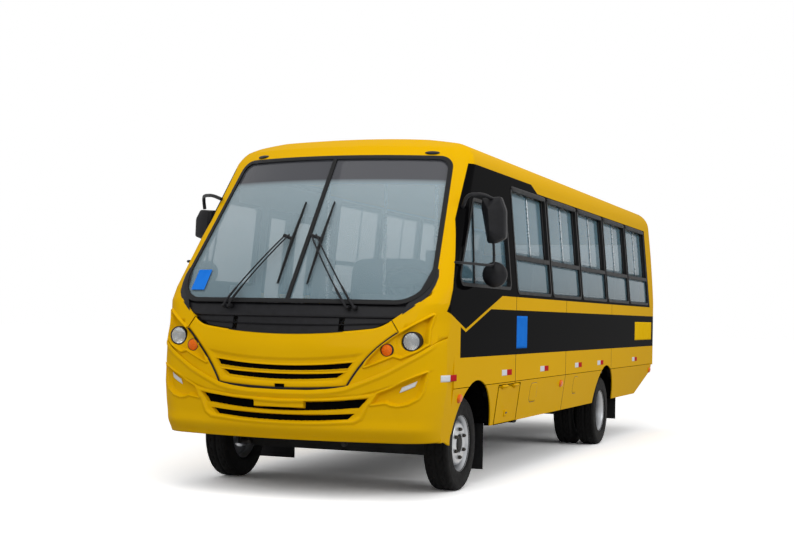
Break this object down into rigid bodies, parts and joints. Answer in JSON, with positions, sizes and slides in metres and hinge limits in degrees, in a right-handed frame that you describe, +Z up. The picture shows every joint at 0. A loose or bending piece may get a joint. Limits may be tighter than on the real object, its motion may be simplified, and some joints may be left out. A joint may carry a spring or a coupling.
{
  "type": "school bus",
  "caption": "Front-engined school bus with a raked split windscreen, hinged front hatch, folding entry door, steered front wheels and twin rear wheels",
  "frame": {"origin": "on the ground under the middle of the bus", "axes": "front faces -Y, +X is the driver's side, +Z up"},
  "size_m": [2.844, 8.9495, 2.963],
  "materials": {
    "yellow_paint": "gloss school-bus yellow paint",
    "black_paint": "gloss black paint",
    "black_plastic": "matt black moulded plastic",
    "rubber": "black rubber",
    "tinted_glass": "tinted safety glass",
    "clear_lens": "clear lamp lens",
    "amber_lens": "amber lens",
    "red_lens": "red lens",
    "chassis_black": "satin black chassis paint",
    "cast_iron": "raw cast iron",
    "wheel_silver": "silver painted steel",
    "tyre": "black tyre rubber",
    "floor_cover": "grey floor covering",
    "grey_trim": "grey moulded trim",
    "seat_cloth": "grey seat cloth",
    "steel_rail": "brushed steel tube"
  },
  "bodies": {
    "body": {"front_mask": "yellow_paint", "front_bumper": "yellow_paint", "bumper_grille": "black_plastic", "front_cowl": "black_plastic", "hatch_hinge_rod": "chassis_black", "windscreen_gasket": "rubber", "windscreen": "tinted_glass", "headlamps": "clear_lens", "turn_lamps": "amber_lens", "left_wall": "yellow_paint", "right_wall": "yellow_paint", "window_seals": "rubber", "window_glass": "tinted_glass", "skirts": "yellow_paint", "roof": "yellow_paint", "rear_wall": "yellow_paint", "rear_bumper": "black_plastic", "tail_lamps": "red_lens", "frame_rails": "chassis_black", "frame_crossmembers": "chassis_black", "floor": "floor_cover", "entry_steps": "floor_cover", "engine_block": "cast_iron", "engine_cover": "grey_trim", "radiator": "chassis_black", "front_axle": "chassis_black", "rear_axle": "chassis_black", "leaf_springs": "chassis_black", "propeller_shaft": "chassis_black", "fuel_tank": "chassis_black", "exhaust": "cast_iron", "mud_flaps": "rubber", "dashboard": "grey_trim", "steering_wheel": "black_plastic", "driver_seat": "seat_cloth", "seat_benches": "seat_cloth", "seat_backs": "seat_cloth", "handrails": "steel_rail", "wipers": "black_plastic", "mirrors": "black_plastic", "tow_eyes": "chassis_black"},
    "knuckle_left": {"knuckle_left": "cast_iron"},
    "knuckle_right": {"knuckle_right": "cast_iron"},
    "wheel_front_left": {"rim_front_left": "wheel_silver", "tyre_front_left": "tyre"},
    "wheel_front_right": {"rim_front_right": "wheel_silver", "tyre_front_right": "tyre"},
    "wheel_rear_left": {"rims_rear_left": "wheel_silver", "tyres_rear_left": "tyre"},
    "wheel_rear_right": {"rims_rear_right": "wheel_silver", "tyres_rear_right": "tyre"},
    "door_front": {"door_leaf_front": "yellow_paint", "door_glass_front": "tinted_glass"},
    "door_rear": {"door_leaf_rear": "yellow_paint", "door_glass_rear": "tinted_glass"},
    "front_hatch": {"front_hatch": "yellow_paint", "hatch_grille": "black_plastic"},
    "locker_flap": {"locker_flap": "yellow_paint"},
    "roof_hatch": {"roof_hatch": "grey_trim"}
  },
  "joints": [
    {"name": "steer_left", "type": "hinge", "parent": "body", "child": "knuckle_left", "pos_m": [0.85, -3.295, 0.378], "axis": [0, 0, 1], "range_deg": [-38, 38]},
    {"name": "steer_right", "type": "hinge", "parent": "body", "child": "knuckle_right", "pos_m": [-0.85, -3.295, 0.378], "axis": [0, 0, 1], "range_deg": [-38, 38]},
    {"name": "spin_front_left", "type": "hinge", "parent": "knuckle_left", "child": "wheel_front_left", "pos_m": [0.973, -3.295, 0.378], "axis": [1, 0, 0], "continuous": true},
    {"name": "spin_front_right", "type": "hinge", "parent": "knuckle_right", "child": "wheel_front_right", "pos_m": [-0.973, -3.295, 0.378], "axis": [1, 0, 0], "continuous": true},
    {"name": "spin_rear_left", "type": "hinge", "parent": "body", "child": "wheel_rear_left", "pos_m": [0.91, 1.505, 0.378], "axis": [1, 0, 0], "continuous": true},
    {"name": "spin_rear_right", "type": "hinge", "parent": "body", "child": "wheel_rear_right", "pos_m": [-0.91, 1.505, 0.378], "axis": [1, 0, 0], "continuous": true},
    {"name": "door_front_swing", "type": "hinge", "parent": "body", "child": "door_front", "pos_m": [-1.206, -2.535, 1.25], "axis": [0, 0, 1], "range_deg": [0, 90]},
    {"name": "door_rear_swing", "type": "hinge", "parent": "body", "child": "door_rear", "pos_m": [-1.206, -1.435, 1.25], "axis": [0, 0, -1], "range_deg": [0, 90]},
    {"name": "front_hatch_lift", "type": "hinge", "parent": "body", "child": "front_hatch", "pos_m": [0, -4.285, 1.36], "axis": [-1, 0, 0], "range_deg": [0, 55]},
    {"name": "locker_flap_lift", "type": "hinge", "parent": "body", "child": "locker_flap", "pos_m": [1.20167, -2.365, 0.813], "axis": [0, -1, 0], "range_deg": [0, 100]},
    {"name": "roof_hatch_lift", "type": "hinge", "parent": "body", "child": "roof_hatch", "pos_m": [0, -0.001, 2.949], "axis": [1, 0, 0], "range_deg": [0, 75]}
  ],
  "couplings": [
    {"joint": "steer_right", "follows": "steer_left", "ratio": 1},
    {"joint": "door_rear_swing", "follows": "door_front_swing", "ratio": 1}
  ]
}
